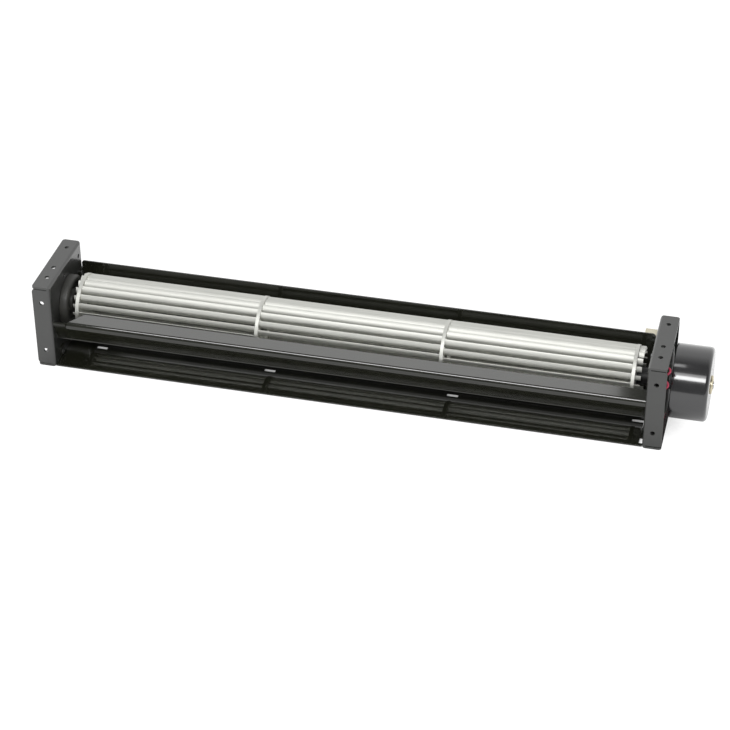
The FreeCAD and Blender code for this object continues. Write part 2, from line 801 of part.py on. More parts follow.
def make_stator_core():
    """Laminated star: a yoke on the bearing tube and poles with shoes that face the magnet."""
    body = tube("stator_core", "rotor_open - rotor_place + stator_place",
                "rotor_open - rotor_place + stator_place + stator_length",
                "yoke_radius", "tube_radius")
    start = "rotor_open - rotor_place + stator_place"
    pole = new_sketch(body, "YZ_Plane", start)
    draw_box(pole, "-0.5 * pole_width", "0.5 * pole_width", "0.5 * ( tube_radius + yoke_radius )",
             "stator_radius - 0.5 * pole_shoe")
    arm = pad(body, pole, "stator_length")
    repeat_round(body, arm, "pole_count")
    shoes = new_sketch(body, "YZ_Plane", start)
    draw_circle(shoes, "stator_radius")
    draw_circle(shoes, "stator_radius - pole_shoe")
    pad(body, shoes, "stator_length")
    slit = new_sketch(body, "YZ_Plane", start)
    slit.AttachmentOffset = FreeCAD.Placement(
        Vector(0, 0, 0), FreeCAD.Rotation(Vector(0, 0, 1), 180.0 / size("pole_count")))
    slit.setExpression("AttachmentOffset.Base.z", linked(start))
    draw_box(slit, "-0.5 * pole_slit", "0.5 * pole_slit", "stator_radius - 2 * pole_shoe",
             "stator_radius + 1")
    cut = pocket(body, slit, "stator_length", along_normal=True)
    repeat_round(body, cut, "pole_count")
    return body


def make_coils():
    """Wound coils, one round each pole."""
    body = new_body("stator_coils", z="axis_height")
    start = "rotor_open - rotor_place + stator_place"
    low, high = "yoke_radius + 0.4", "stator_radius - pole_shoe - 0.4"
    section = new_sketch(body, "YZ_Plane", f"{start} - coil_gauge")
    draw_box(section, "-0.5 * pole_width - coil_gauge", "0.5 * pole_width + coil_gauge", low, high)
    winding = pad(body, section, "stator_length + 2 * coil_gauge")
    repeat_round(body, winding, "pole_count")
    core = new_sketch(body, "YZ_Plane", start)
    draw_box(core, "-0.5 * pole_width", "0.5 * pole_width", "yoke_radius - 1",
             "stator_radius")
    opening = pocket(body, core, "stator_length", along_normal=True)
    repeat_round(body, opening, "pole_count")
    return body


def make_motor_screws():
    """Round headed screws from the drum's side through the end plate into the motor base."""
    screws = []
    for number in range(3):
        angle = math.radians(90 + 120 * number)
        body = new_body(f"motor_screw_{number}", x="half_width",
                        y=f"screw_circle * {math.cos(angle):.6f}",
                        z=f"axis_height + screw_circle * {math.sin(angle):.6f}")
        sketch = new_sketch(body, "XY_Plane")
        draw_outline(sketch, [
            ("-1 * screw_head_height", "0"),
            ("-1 * screw_head_height", "0.7 * screw_head"),
            ("-0.4 * screw_head_height", "screw_head"),
            ("0", "screw_head"),
            ("0", "screw_radius"),
            ("bracket_gauge + screw_grip", "screw_radius"),
            ("bracket_gauge + screw_grip", "0"),
        ])
        turn = body.newObject("PartDesign::Revolution", "screw_turn")
        turn.Profile = sketch
        turn.ReferenceAxis = (sketch, ["H_Axis"])
        turn.Angle = 360
        doc.recompute()
        screws.append(body)
    return gather("motor_screws", screws)


def drill_motor_base(body):
    """Threaded holes in the base for the motor screws."""
    holes = new_sketch(body, "YZ_Plane", "half_width + bracket_gauge - 1")
    draw_circle(holes, "screw_radius", "0", "screw_circle")
    hole = pocket(body, holes, "screw_grip + 1", along_normal=True)
    pattern = body.newObject("PartDesign::PolarPattern", "motor_base_holes")
    pattern.Originals = [hole]
    pattern.Axis = (origin_feature(body, "X_Axis"), [""])
    pattern.Angle = 360
    pattern.Occurrences = 3
    body.Tip = pattern
    doc.recompute()


# Lead from the motor's board to the plug behind the rear panel

def wire_pieces(points):
    """Straight cylinders and the tangent arcs between them, and the arcs' radii and the length.

    Each corner of the route is a place and how far from it the arc starts and ends.
    """
    pieces, radii = [], []
    length = 0.0
    start = Vector(*points[0][:3])
    for here, after in zip(points[1:], points[2:]):
        corner, reach = Vector(*here[:3]), here[3]
        incoming = (corner - start).normalize()
        outgoing = (Vector(*after[:3]) - corner).normalize()
        turn = incoming.getAngle(outgoing)
        axis = incoming.cross(outgoing).normalize()
        radii.append(reach / math.tan(turn / 2))
        enter = corner - incoming * reach
        pieces.append(wire_section(start, incoming).extrude(enter - start))
        centre = enter + axis.cross(incoming) * radii[-1]
        pieces.append(wire_section(enter, incoming).revolve(centre, axis, math.degrees(turn)))
        length += (enter - start).Length + radii[-1] * turn
        start = corner + outgoing * reach
    run = Vector(*points[-1][:3]) - start
    pieces.append(wire_section(start, run).extrude(run))
    return pieces, radii, length + run.Length


def wire_section(place, direction):
    return Part.Face(Part.Wire([Part.makeCircle(size("wire_radius"), place, direction)]))


def make_wire(label, points):
    """A thin insulated wire along its route, whole from end to end."""
    pieces, radii, length = wire_pieces(points)
    wire = doc.addObject("Part::Feature", label)
    wire.Label = label
    wire.Shape = pieces[0].multiFuse(pieces[1:]).Solids[0]
    expected = math.pi * size("wire_radius") ** 2 * length
    print(f"{label}: length {length:.1f}, volume {wire.Shape.Volume:.1f} of {expected:.1f},"
          f" radii {', '.join(f'{radius:.1f}' for radius in radii)}")
    return wire


def lead_end(spread):
    """End of one wire's route: down the tray's front, along its base, and up behind the panel.

    The wire with spread -1 lies outside the other all the way.
    """
    spacing = size("lead_spread")
    plate, back = size("half_width"), size("half_depth")
    tray_x = plate + size("lead_tray_place")
    front_y = size("bracket_gauge") - back + size("lead_wall_gap") + (0.5 + spread / 2) * spacing
    hole_y = back - size("lead_hole_inset")
    hole_z = size("lead_hole_height") + spread * spacing / 2
    plug_x = size("plug_left") + size("plug_width") / 2 + spread * size("plug_wire_spacing") / 2
    plug_y = back + size("plug_depth") / 2
    return [
        (tray_x, front_y, hole_z, size("lead_front_bend") - spread * spacing / 2),
        (tray_x, hole_y, hole_z, size("lead_side_bend")),
        (plug_x, hole_y, hole_z, size("lead_inner_bend")),
        (plug_x, plug_y, hole_z + size("lead_plug_rise"), size("lead_plug_bend")),
        (plug_x, plug_y, size("plug_foot"), 0),
    ]


def make_lead_plug():
    """Two way plug housing against the back of the rear panel, with its mouth to the back."""
    body = new_body("lead_plug", x="plug_left", y="half_depth", z="plug_foot")
    section = new_sketch(body, "XY_Plane")
    draw_box(section, "0", "plug_width", "0", "plug_depth")
    pad(body, section, "plug_height")
    mouth = new_sketch(body, "XZ_Plane", "-1 * plug_depth")
    for way in ("-0.5", "0.5"):
        middle = f"0.5 * plug_width + {way} * plug_wire_spacing"
        draw_box(mouth, f"{middle} - 0.5 * plug_cavity", f"{middle} + 0.5 * plug_cavity",
                 "plug_height - plug_cavity_drop - 0.5 * plug_cavity",
                 "plug_height - plug_cavity_drop + 0.5 * plug_cavity")
    pocket(body, mouth, "plug_cavity_depth", along_normal=True)
    latch = new_sketch(body, "XY_Plane", "0.15 * plug_height")
    draw_box(latch, "0.35 * plug_width", "0.65 * plug_width", "0.9 * plug_depth", "plug_depth + 0.8")
    pad(body, latch, "0.25 * plug_height")
    return body


def make_grommet():
    """Rubber grommet that lines the lead's hole in the right end plate."""
    body = new_body("lead_grommet", y="half_depth - lead_hole_inset", z="lead_hole_height")
    sketch = new_sketch(body, "XY_Plane")
    plate_in, plate_out = "half_width", "half_width + bracket_gauge"
    bore = "0.5 * lead_spread + wire_radius + lead_clearance"
    draw_outline(sketch, [
        (f"{plate_in} - grommet_flange_gauge", bore),
        (f"{plate_out} + grommet_flange_gauge", bore),
        (f"{plate_out} + grommet_flange_gauge", "grommet_flange"),
        (plate_out, "grommet_flange"),
        (plate_out, "lead_hole_radius"),
        (plate_in, "lead_hole_radius"),
        (plate_in, "grommet_flange"),
        (f"{plate_in} - grommet_flange_gauge", "grommet_flange"),
    ])
    turn = body.newObject("PartDesign::Revolution", "grommet_turn")
    turn.Profile = sketch
    turn.ReferenceAxis = (sketch, ["H_Axis"])
    turn.Angle = 360
    doc.recompute()
    return body


# The whole fan

parts = [
    make_bracket("left_bracket", -1),
    make_bracket("right_bracket", 1),
    make_rear_panel(),
    make_stabilizer(),
    make_rivets("panel_rivets", (0, 1)),
    make_rivets("stabilizer_rivets", (2,)),
    make_rubber_mount(),
]

left_face = "left_disc - left_hub_length"
bush_face = f"{left_face} - axial_play"
running_bore = "shaft_radius + running_clearance"
parts += [
    tube("left_bush", f"{bush_face} - bush_length", bush_face, "bush_radius", running_bore),
    turned("left_shaft", [
        (f"{bush_face} - bush_length - 0.8", "0"),
        ("left_disc + disc_gauge", "0"),
        ("left_disc + disc_gauge", "shaft_radius"),
        (f"{bush_face} - bush_length - 0.8", "shaft_radius"),
    ]),
    make_hub("left_hub", left_face, "left_disc", "shaft_radius"),
    make_disc("left_end_disc", 0, "shaft_radius", [(0, -1, "left_tab_length")]),
    make_blades("blades_left", 0),
    make_disc("left_ring", 1, "ring_bore", [(0, 1, "tab_rivet_length")]),
    make_blades("blades_middle", 1),
    make_disc("right_ring", 2, "ring_bore", [(1, 1, "tab_rivet_length")]),
    make_blades("blades_right", 2),
    make_disc("right_end_disc", 3, "shaft_radius", [(2, 1, "right_tab_length")]),
    make_hub("right_hub", "right_disc_face", "right_disc_face + hub_length", "shaft_radius"),
]

motor_base = make_motor_base()
drill_motor_base(motor_base)
board_start = "half_width + bracket_gauge + board_place"
parts += [
    motor_base,
    make_motor_screws(),
    tube("inner_bush", "half_width", "half_width + bush_length", "bush_radius", running_bore),
    tube("outer_bush", "tube_end - bush_length", "tube_end", "bush_radius", running_bore),
    tube("circuit_board", board_start, f"{board_start} + board_gauge", "board_radius",
         "tube_radius"),
    make_stator_core(),
    make_coils(),
    make_rotor_cup(),
    tube("magnet_ring", "rotor_open + magnet_place", "rotor_open + magnet_place + magnet_length",
         "rotor_radius - rotor_wall", "rotor_radius - rotor_wall - magnet_gauge"),
    turned("brass_hub", [
        ("rotor_end - brass_length", "shaft_radius"),
        ("rotor_end + brass_flange_height", "shaft_radius"),
        ("rotor_end + brass_flange_height", "brass_flange"),
        ("rotor_end", "brass_flange"),
        ("rotor_end", "brass_body"),
        ("rotor_end - brass_length", "brass_body"),
    ]),
    turned("motor_shaft", [
        ("right_disc_face - disc_gauge", "0"),
        ("rotor_end + brass_flange_height + shaft_end_height", "0"),
        ("rotor_end + brass_flange_height + shaft_end_height", "shaft_radius"),
        ("right_disc_face - disc_gauge", "shaft_radius"),
    ]),
]

# Each wire leaves the board squarely. The red one loops out past the tray's front flange twice.
board_face = size("half_width") + size("bracket_gauge") + size("board_place")
axis, top = size("axis_height"), size("bracket_height")
wall = size("bracket_gauge") - size("half_depth")
tray_x = size("half_width") + size("lead_tray_place")
red_start = [
    (board_face, -11.6, axis + 10.8, 0),
    (board_face - 2.0, -11.6, axis + 10.8, 1.4),
    (board_face - 1.2, wall + 6.8, top - 2.8, 2.6),
    (board_face + 4.4, wall + 3.2, top - 2.6, 2.6),
    (board_face - 0.4, wall + 1.6, top - 7.0, 2.0),
    (board_face + 3.4, wall + 1.4, top - 10.2, 2.0),
    (tray_x, wall + size("lead_wall_gap"), top - 15.4, 2.6),
]
black_start = [
    (board_face, -13.6, axis + 8.8, 0),
    (board_face - 2.0, -13.6, axis + 8.8, 1.4),
    (tray_x, wall + size("lead_wall_gap") + size("lead_spread"), axis + 0.4, 4.0),
]
parts += [
    make_wire("lead_red", red_start + lead_end(-1)),
    make_wire("lead_black", black_start + lead_end(1)),
    make_grommet(),
    make_lead_plug(),
]

# Check every object, then write one file for each piece
doc.recompute()
for item in doc.Objects:
    if "Invalid" in item.State or "Error" in item.State:
        raise RuntimeError(f"{item.Label} failed: {item.State}")
for part in parts:
    if part.Shape.isNull() or not part.Shape.isValid():
        raise RuntimeError(f"{part.Label} has no valid shape")
os.makedirs("parts", exist_ok=True)
for part in parts:
    part.Shape.exportStep(f"parts/{part.Label}.step")
    print(f"{part.Label}: {len(part.Shape.Solids)} solids, {part.Shape.Volume:.1f} mm3")
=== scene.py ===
import json
from math import cos, pi, radians, sin

import bmesh
import bpy
from mathutils import Matrix, Vector


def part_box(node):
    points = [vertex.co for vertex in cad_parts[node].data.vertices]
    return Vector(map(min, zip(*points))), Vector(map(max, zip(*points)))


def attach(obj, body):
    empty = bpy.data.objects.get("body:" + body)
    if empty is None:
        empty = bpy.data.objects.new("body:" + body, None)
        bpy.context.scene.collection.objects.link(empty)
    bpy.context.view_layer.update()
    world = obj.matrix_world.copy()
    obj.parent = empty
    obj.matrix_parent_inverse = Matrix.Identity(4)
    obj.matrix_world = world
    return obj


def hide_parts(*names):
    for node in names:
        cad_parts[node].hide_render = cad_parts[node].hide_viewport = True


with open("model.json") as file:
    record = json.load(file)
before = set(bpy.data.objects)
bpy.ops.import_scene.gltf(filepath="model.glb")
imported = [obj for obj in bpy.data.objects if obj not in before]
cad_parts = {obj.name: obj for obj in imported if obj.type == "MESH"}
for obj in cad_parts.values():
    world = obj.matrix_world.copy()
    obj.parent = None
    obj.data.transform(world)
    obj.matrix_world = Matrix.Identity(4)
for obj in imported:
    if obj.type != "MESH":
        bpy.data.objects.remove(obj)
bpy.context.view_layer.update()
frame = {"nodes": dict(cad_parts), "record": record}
nodes = frame["nodes"]

MM = 0.001


# Colours and nodes

def linear(code):
    """Turn an sRGB hex colour into linear RGBA, by the standard's own curve."""
    parts = [int(code[i:i + 2], 16) / 255 for i in (1, 3, 5)]
    return tuple(p / 12.92 if p <= 0.04045 else ((p + 0.055) / 1.055) ** 2.4 for p in parts) + (1.0,)


def add_node(tree, kind, settings=None, inputs=None):
    """Add a node; an input is a value, or the socket that it is linked from."""
    item = tree.nodes.new(kind)
    for name, value in (settings or {}).items():
        setattr(item, name, value)
    for name, value in (inputs or {}).items():
        if isinstance(value, bpy.types.NodeSocket):
            tree.links.new(value, item.inputs[name])
        else:
            item.inputs[name].default_value = value
    return item


def set_shader(tree, **inputs):
    """Set or link sockets of the tree's shader; an underscore stands for a space."""
    shader = tree.nodes["Principled BSDF"]
    for name, value in inputs.items():
        socket = shader.inputs[name.replace("_", " ")]
        if isinstance(value, bpy.types.NodeSocket):
            tree.links.new(value, socket)
        else:
            socket.default_value = value


def new_material(name):
    """A material, its node tree and the object's own coordinates in metres."""
    material = bpy.data.materials.new(name)
    material.use_nodes = True
    tree = material.node_tree
    place = add_node(tree, "ShaderNodeTexCoord").outputs["Object"]
    return material, tree, place


def grain(tree, place, size_mm, stretch=(1, 1, 1), detail=3):
    """Noise whose features are about the given size; stretch lengthens them along an axis."""
    mapped = add_node(tree, "ShaderNodeMapping", inputs={
        "Vector": place, "Scale": tuple(1 / s for s in stretch)})
    noise = add_node(tree, "ShaderNodeTexNoise", inputs={
        "Vector": mapped.outputs["Vector"], "Scale": 1 / (size_mm * MM), "Detail": detail})
    return noise.outputs["Fac"]


def pattern(tree, value, colours, roughness):
    """Let the range that noise mostly keeps to run between two colours and two roughnesses."""
    least, most = 0.3, 0.7
    spread = add_node(tree, "ShaderNodeMapRange", inputs={
        "Value": value, "From Min": least, "From Max": most}).outputs["Result"]
    colour = add_node(tree, "ShaderNodeMix", {"data_type": "RGBA"}, {
        "Factor": spread, 6: linear(colours[0]), 7: linear(colours[1])}).outputs[2]
    rough = add_node(tree, "ShaderNodeMapRange", inputs={
        "Value": spread, "To Min": roughness[0], "To Max": roughness[1]}).outputs["Result"]
    set_shader(tree, Base_Color=colour, Roughness=rough)


def relief(tree, height, depth_mm):
    """Bump of a real depth."""
    bump = add_node(tree, "ShaderNodeBump", inputs={
        "Height": height, "Strength": 1.0, "Distance": depth_mm * MM})
    set_shader(tree, Normal=bump.outputs["Normal"])


# Finishes

RESIN_IOR = 1.6

# Sizes of the slow changes of tone in a paint and in a moulding.
CLOUD_MM, MOTTLE_MM = 11, 5

# How many times longer a line is along X, Y and Z: none, rolled along the drum, turned round the
# axis, or laid in layers square to it.
EVEN, ALONG, ROUND, STACKED = (1, 1, 1), (60, 1, 1), (1, 8, 8), (1, 30, 30)


def lacquered(name, colours, roughness, peel_mm, depth_mm, coat_roughness, coat):
    """Stoved black paint under its own smooth skin, slightly uneven in tone and gloss."""
    material, tree, place = new_material(name)
    pattern(tree, grain(tree, place, CLOUD_MM, detail=5), colours, roughness)
    relief(tree, grain(tree, place, peel_mm, detail=2), depth_mm)
    set_shader(tree, IOR=RESIN_IOR, Coat_Weight=coat, Coat_IOR=RESIN_IOR,
               Coat_Roughness=coat_roughness)
    return material


def metal(name, colours, roughness, line_mm, stretch, depth_mm):
    """Bare metal with fine lines along the way it was rolled, turned or drawn."""
    material, tree, place = new_material(name)
    lines = grain(tree, place, line_mm, stretch, detail=4)
    pattern(tree, lines, colours, roughness)
    relief(tree, lines, depth_mm)
    set_shader(tree, Metallic=1.0)
    return material


def moulded(name, colours, roughness, texture_mm, depth_mm):
    """Moulded or extruded rubber or plastic: even colour, a fine texture."""
    material, tree, place = new_material(name)
    pattern(tree, grain(tree, place, MOTTLE_MM, detail=5), colours, roughness)
    relief(tree, grain(tree, place, texture_mm, detail=2), depth_mm)
    return material


# The lines that rolling, grinding, turning and plating leave, and the grit of a moulded or cast
# skin, are under 0.1 mm wide. They are drawn 0.2 to 0.8 mm wide, as coarse as they need to show.
FINISHES = {
    # Powder coat on the brackets and rivets: an even dark grey with fine orange peel.
    "bracket_paint": lacquered(
        "satin_powder_coat", ("#2b2c2a", "#313230"), (0.4, 0.5),
        peel_mm=0.6, depth_mm=0.003, coat_roughness=0.16, coat=0.8),
    # Enamel on the rear panel and stabilizer: a clear dark mirror of the drum, slightly olive.
    "panel_paint": lacquered(
        "gloss_black_enamel", ("#1a1b15", "#21221a"), (0.05, 0.08),
        peel_mm=3.0, depth_mm=0.0003, coat_roughness=0.04, coat=0.3),
    # Lacquer on the motor's cup: black, with a bright band that has soft edges.
    "cup_paint": lacquered(
        "gloss_black_lacquer", ("#1c1c1d", "#212123"), (0.14, 0.2),
        peel_mm=3.0, depth_mm=0.001, coat_roughness=0.1, coat=1.0),
    # Mill finish aluminium strip: a broad soft shine, with rolling lines along the blades.
    "drum_aluminium": metal(
        "rolled_aluminium", ("#d8d9d3", "#e8e8e3"), (0.54, 0.66),
        line_mm=0.3, stretch=ALONG, depth_mm=0.003),
    # Zinc plate on the screws and contacts: bright and slightly blue.
    "zinc_steel": metal(
        "zinc_plate", ("#b9bcc0", "#d2d4d6"), (0.25, 0.4),
        line_mm=0.4, stretch=ROUND, depth_mm=0.002),
    # Ground steel shafts: fine rings round the axis and a tight shine.
    "shaft_steel": metal(
        "ground_steel", ("#aeb0b2", "#c9cacc"), (0.2, 0.32),
        line_mm=0.2, stretch=ROUND, depth_mm=0.002),
    # Punched core sheets 0.5 mm thick, stacked along the axis: ribbed, dull edges.
    "core_steel": metal(
        "core_laminations", ("#6f7072", "#8b8c8e"), (0.4, 0.55),
        line_mm=0.5, stretch=STACKED, depth_mm=0.05),
    # Sintered bushes: porous, warm and dull.
    "bush_bronze": metal(
        "sintered_bronze", ("#9a7446", "#b48b58"), (0.45, 0.6),
        line_mm=0.3, stretch=EVEN, depth_mm=0.01),
    # Turned brass boss: pale gold with fine rings.
    "hub_brass": metal(
        "turned_brass", ("#e6dbbc", "#f0e6cb"), (0.32, 0.44),
        line_mm=0.2, stretch=ROUND, depth_mm=0.002),
    # Die cast motor base: grey with a sandy skin.
    "cast_alloy": metal(
        "cast_alloy", ("#8f9092", "#a9aaac"), (0.45, 0.6),
        line_mm=0.8, stretch=EVEN, depth_mm=0.02),
    # Enamelled copper wire 0.5 mm thick: ribs of wire, lacquer brown.
    "coil_wire": metal(
        "enamelled_copper", ("#8f4a22", "#b4652f"), (0.3, 0.4),
        line_mm=0.5, stretch=STACKED, depth_mm=0.08),
    # Moulded rubber: dark warm grey, matt, a faint bloom.
    "mount_rubber": moulded(
        "black_rubber", ("#32322f", "#3d3d39"), (0.42, 0.55), texture_mm=0.4, depth_mm=0.008),
    # Moulded nylon hubs: near black, matt.
    "hub_plastic": moulded(
        "black_nylon", ("#1b1b1b", "#222222"), (0.4, 0.55), texture_mm=0.5, depth_mm=0.006),
    # Glass epoxy board under green solder mask: dark green, slightly uneven, a soft gloss.
    "board_laminate": moulded(
        "green_solder_mask", ("#17381f", "#1f4a29"), (0.3, 0.45), texture_mm=0.5, depth_mm=0.004),
    # Bonded ferrite ring: dull charcoal with a grainy skin.
    "magnet_ferrite": moulded(
        "bonded_ferrite", ("#2b2b2c", "#373738"), (0.5, 0.7), texture_mm=0.3, depth_mm=0.01),
    # Extruded PVC sheaths: soft gloss, even colour.
    "wire_red": moulded(
        "red_pvc_sheath", ("#b23450", "#c84560"), (0.35, 0.5), texture_mm=0.6, depth_mm=0.004),
    "wire_black": moulded(
        "black_pvc_sheath", ("#161616", "#1f1f1f"), (0.35, 0.5), texture_mm=0.6, depth_mm=0.004),
    # Moulded nylon plug: cream, with a dull waxy shine.
    "plug_nylon": moulded(
        "cream_nylon", ("#d6cfb6", "#dfd9c4"), (0.45, 0.6), texture_mm=0.5, depth_mm=0.006),
}


# Edges of the sheet and turned pieces

WORN_EDGE_MM = 0.12


def soften(item):
    """Rub down the sharp edges of a node's faceted solid."""
    weld = item.modifiers.new("joined", "WELD")
    weld.merge_threshold = 0.001 * MM
    flat = item.modifiers.new("flat_faces", "DECIMATE")
    flat.decimate_type = "DISSOLVE"
    flat.angle_limit = radians(1)
    edge = item.modifiers.new("worn_edges", "BEVEL")
    edge.width = WORN_EDGE_MM * MM
    edge.segments = 2
    edge.limit_method = "ANGLE"
    edge.angle_limit = radians(35)
    flat_light = item.modifiers.new("flat_light", "WEIGHTED_NORMAL")
    flat_light.weight = 100


for part in frame["record"]["subparts"]:
    item = nodes[part["node"]]
    item.data.materials.clear()
    item.data.materials.append(FINISHES[part["material_slot"]])
    soften(item)


# Modelling, in millimetres until a piece is finished

def to_mm(corner):
    return Vector(corner) / MM


def finish_piece(mesh, name, slot, body, *replaced):
    """Turn a finished bmesh into a piece that rides on a body and may stand for CAD nodes."""
    bmesh.ops.remove_doubles(mesh, verts=mesh.verts, dist=0.002)
    bmesh.ops.recalc_face_normals(mesh, faces=mesh.faces)
    bmesh.ops.scale(mesh, verts=mesh.verts, vec=(MM, MM, MM))
    data = bpy.data.meshes.new(name)
    mesh.to_mesh(data)
    mesh.free()
    data.shade_smooth()
    data.set_sharp_from_angle(angle=radians(32))
    data.materials.append(FINISHES[slot])
    piece = bpy.data.objects.new(name, data)
    bpy.context.scene.collection.objects.link(piece)
    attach(piece, body)
    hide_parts(*replaced)


def join_up(mesh, verts, closed=True):
    """Edges from each vertex to the next one."""
    ends = verts[1:] + verts[:1] if closed else verts[1:]
    return [mesh.edges.new(pair) for pair in zip(verts, ends)]


def turn(mesh, corners, centre, steps, closed=True):
    """Turn a profile about an axis along X; a corner is a place along X, a radius and a rounding."""
    older = set(mesh.verts)
    verts = [mesh.verts.new((x, centre[0], centre[1] + radius)) for x, radius, _ in corners]
    join_up(mesh, verts, closed)
    for vert, (_, _, rounding) in zip(verts, corners):
        if rounding:
            bmesh.ops.bevel(mesh, geom=[vert], offset=rounding, offset_type="OFFSET",
                            affect="VERTICES", segments=4, profile=0.5, material=-1)
    profile = [vert for vert in mesh.verts if vert not in older]
    edges = [edge for edge in mesh.edges if edge.verts[0] not in older]
    bmesh.ops.spin(mesh, geom=profile + edges, cent=(0, *centre), axis=(1, 0, 0),
                   angle=2 * pi, steps=steps, use_merge=True)


def islands(node):
    """Lowest and highest corner of each separate solid of a node."""
    mesh = bmesh.new()
    mesh.from_mesh(nodes[node].data)
    bmesh.ops.remove_doubles(mesh, verts=mesh.verts, dist=0.001 * MM)
    seen = set()
    found = []
    for seed in mesh.verts:
        if seed in seen:
            continue
        seen.add(seed)
        group = [seed]
        # The group grows while it is gone through, until it holds the whole solid.
        for vert in group:
            for near in (link.other_vert(vert) for link in vert.link_edges):
                if near not in seen:
                    seen.add(near)
                    group.append(near)
        places = [to_mm(vert.co) for vert in group]
        found.append((Vector(map(min, zip(*places))), Vector(map(max, zip(*places)))))
    mesh.free()
    return found


def middle_of(low, high):
    """Centre across the axis of a box whose round piece lies along X."""
    return tuple((low.yz + high.yz) / 2)


AXIS = middle_of(*map(to_mm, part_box("motor_shaft")))

# Steps of a full turn, by the size of the piece.
VERY_FINE, FINE, PLAIN, SMALL = 144, 96, 48, 32


# Turned pieces

def make_rubber_mount():
    """Rubber disc with a thick rounded rim, snapped into the left end plate round the bush."""
    low, high = map(to_mm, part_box("rubber_mount"))
    plate_out, plate_in = low.x + 1.6, low.x + 2.8
    bore, boss, neck, flange = 4.0, 6.4, 11.0, 12.8
    rim, rim_wall, dish = high.z - AXIS[1], 3.7, 2.2
    mesh = bmesh.new()
    turn(mesh, [
        (low.x, bore, 0.3), (low.x, flange, 0.8), (plate_out, flange, 0.2), (plate_out, neck, 0.2),
        (plate_in, neck, 0), (plate_in, rim, 0.4), (high.x, rim, 1.9),
        (high.x, rim - rim_wall + 0.3, 1.0), (high.x - dish, rim - rim_wall - 0.3, 0.6),
        (high.x - dish, boss + 0.2, 0.6), (high.x, boss - 0.2, 0.7), (high.x, bore, 0.3),
    ], AXIS, FINE)
    finish_piece(mesh, "mount_disc", "mount_rubber", "housing", "rubber_mount")


def make_motor_cup():
    """Drawn cup with a rounded shoulder, a rolled lip and a fine groove turned in its end."""
    low, high = map(to_mm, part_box("rotor_cup"))
    side, wall, end, bore = high.z - AXIS[1], 1.2, 1.5, 3.6
    groove, half_width, depth = 8.15, 0.15, 0.2
    mesh = bmesh.new()
    turn(mesh, [
        (low.x, side - wall, 0.4), (high.x - end, side - wall, 1.2), (high.x - end, bore, 0.2),
        (high.x, bore, 0.2), (high.x, groove - half_width, 0.1), (high.x - depth, groove, 0.05),
        (high.x, groove + half_width, 0.1), (high.x, side, 2.1), (low.x, side, 0.4),
    ], AXIS, VERY_FINE)
    finish_piece(mesh, "motor_cup", "cup_paint", "rotor", "rotor_cup")


def make_brass_hub():
    """Turned brass boss pressed into the cup, with a broken edge and a raised collar."""
    low, high = map(to_mm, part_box("brass_hub"))
    bore, collar, spigot, flange = 2.0, 3.1, 3.6, high.z - AXIS[1]
    step, seat = high.x - 0.25, high.x - 1.1
    mesh = bmesh.new()
    turn(mesh, [
        (low.x, bore, 0.2), (high.x, bore, 0.2), (high.x, collar, 0.15),
        (step, collar + 0.15, 0.1), (step, flange, 0.35), (seat, flange, 0.1),
        (seat, spigot, 0), (low.x, spigot, 0.3),
    ], AXIS, FINE)
    finish_piece(mesh, "hub_boss", "hub_brass", "rotor", "brass_hub")


def make_grommet():
    """Soft ring with two lips, in the leads' hole."""
    low, high = map(to_mm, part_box("lead_grommet"))
    bore, neck, lip, lip_width = 1.35, 2.4, (high.z - low.z) / 2, 0.9
    mesh = bmesh.new()
    turn(mesh, [
        (low.x, bore, 0.25), (high.x, bore, 0.25), (high.x, lip, 0.4),
        (high.x - lip_width, lip, 0.2), (high.x - lip_width, neck, 0),
        (low.x + lip_width, neck, 0), (low.x + lip_width, lip, 0.2), (low.x, lip, 0.4),
    ], middle_of(low, high), PLAIN)
    finish_piece(mesh, "grommet_ring", "mount_rubber", "housing", "lead_grommet")


def make_rivets(name, node):
    """Blind rivets: a domed head with the pin's pit on the drum's side, a bulb in the tray."""
    pit, pit_depth, head_height, shank = 0.55, 0.45, 0.7, 1.2
    bulb, bulb_length, stub = 1.7, 0.7, 0.8
    mesh = bmesh.new()
    for low, high in islands(node):
        head = (high.z - low.z) / 2
        way = 1 if low.x > 0 else -1
        face, back = (low.x, high.x) if way > 0 else (high.x, low.x)
        turn(mesh, [
            (face + way * pit_depth, 0, 0), (face + way * (pit_depth - 0.05), pit, 0.1),
            (face, pit + 0.15, 0.15), (face + way * 0.1, 0.65 * head, 0.3),
            (face + way * (head_height - 0.08), head, 0.12),
            (face + way * head_height, shank, 0), (back - way * bulb_length, shank, 0),
            (back - way * (bulb_length - 0.1), bulb, 0.3), (back - way * 0.1, bulb - 0.4, 0.4),
            (back, stub, 0.2), (back - way * 0.3, 0, 0),
        ], middle_of(low, high), SMALL, closed=False)
    finish_piece(mesh, name, "bracket_paint", "housing", node)


# Screws of the motor's base

# Radius of the flat on top of the head.
SCREW_TOP = 1.5


